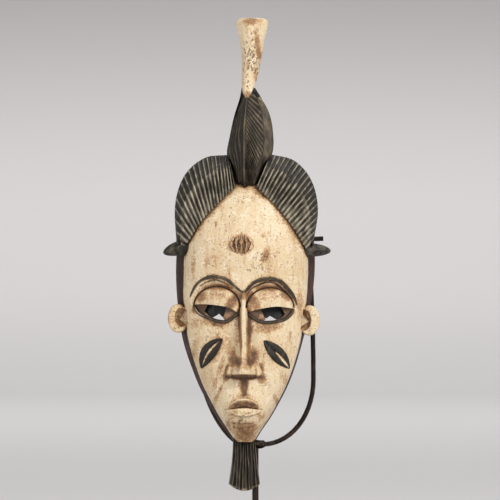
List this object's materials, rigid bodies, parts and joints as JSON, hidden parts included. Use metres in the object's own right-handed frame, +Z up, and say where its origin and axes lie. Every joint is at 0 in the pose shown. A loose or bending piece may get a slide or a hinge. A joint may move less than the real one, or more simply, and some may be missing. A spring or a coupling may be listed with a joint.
{
  "type": "carved face mask on a stand",
  "caption": "Hollow carved wooden face mask with combed hair lobes, a keeled crest and a flared horn, resting on a bent steel rod stand with a flat foot.",
  "frame": {"origin": "centre of the foot plate's underside, below the upright", "axes": "+Z up; the face looks along -Y; +X to the viewer's right"},
  "size_m": [0.0912, 0.074, 0.271],
  "materials": {
    "painted_wood": "worn cream paint over dark wood, with blackened hair and beard",
    "dark_steel": "dark brown-black patina, satin"
  },
  "bodies": {
    "root": {"mask": "painted_wood", "upright": "dark_steel", "arm_right": "dark_steel", "arm_left": "dark_steel", "crossbar": "dark_steel", "base": "dark_steel"}
  },
  "joints": []
}
